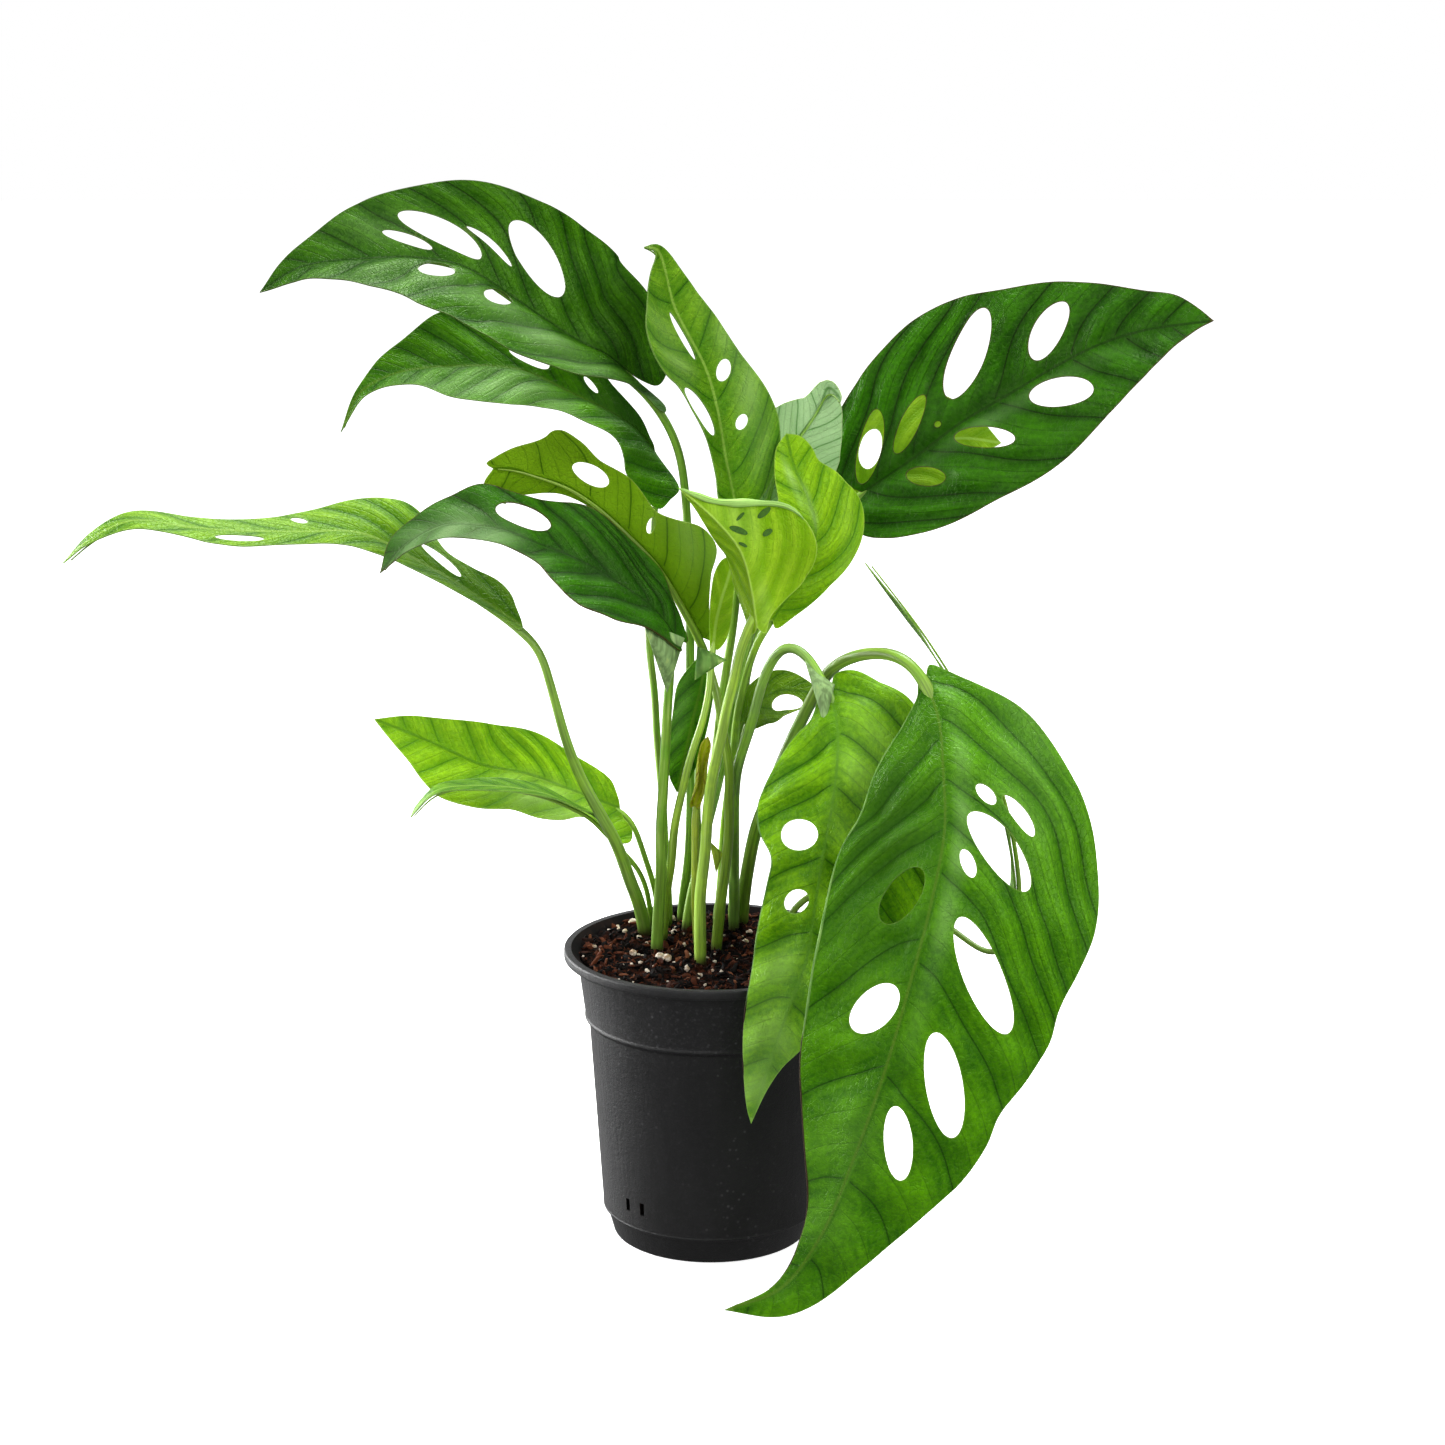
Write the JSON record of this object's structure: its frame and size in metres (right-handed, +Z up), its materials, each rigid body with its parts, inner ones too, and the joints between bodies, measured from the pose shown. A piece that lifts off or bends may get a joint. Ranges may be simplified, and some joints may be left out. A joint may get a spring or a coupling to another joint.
{
  "type": "potted swiss cheese vine",
  "caption": "Potted houseplant with pointed, holed and waved leaves on slender arching stalks, growing from soil in a round black nursery pot.",
  "frame": {"origin": "centre of the pot's flat base, on the surface it stands on", "axes": "+Z up out of the pot; X across the pictured view, +X to the viewer's right; -Y towards the viewer"},
  "size_m": [0.4193, 0.1785, 0.4051],
  "materials": {
    "black_plastic": "satin",
    "potting_soil": "matte",
    "leaf_dark": "satin",
    "leaf_mid": "satin",
    "leaf_young": "satin"
  },
  "bodies": {
    "root": {"pot": "black_plastic", "soil": "potting_soil", "leaf_top_left": "leaf_dark", "leaf_second_left": "leaf_mid", "leaf_top_centre": "leaf_mid", "leaf_top_right": "leaf_dark", "leaf_back_pale": "leaf_mid", "leaf_behind_right": "leaf_young", "leaf_young_front": "leaf_young", "leaf_young_back": "leaf_young", "leaf_mid_left": "leaf_dark", "leaf_mid_turned": "leaf_mid", "leaf_far_left": "leaf_mid", "leaf_low_left": "leaf_young", "leaf_low_sliver": "leaf_young", "leaf_big_front": "leaf_mid", "leaf_hanging_pale": "leaf_mid", "leaf_edge_on": "leaf_mid", "leaf_small_inner": "leaf_mid", "leaf_small_dark": "leaf_dark", "leaf_rolled": "leaf_young", "leaf_inner_bright": "leaf_young"}
  },
  "joints": []
}
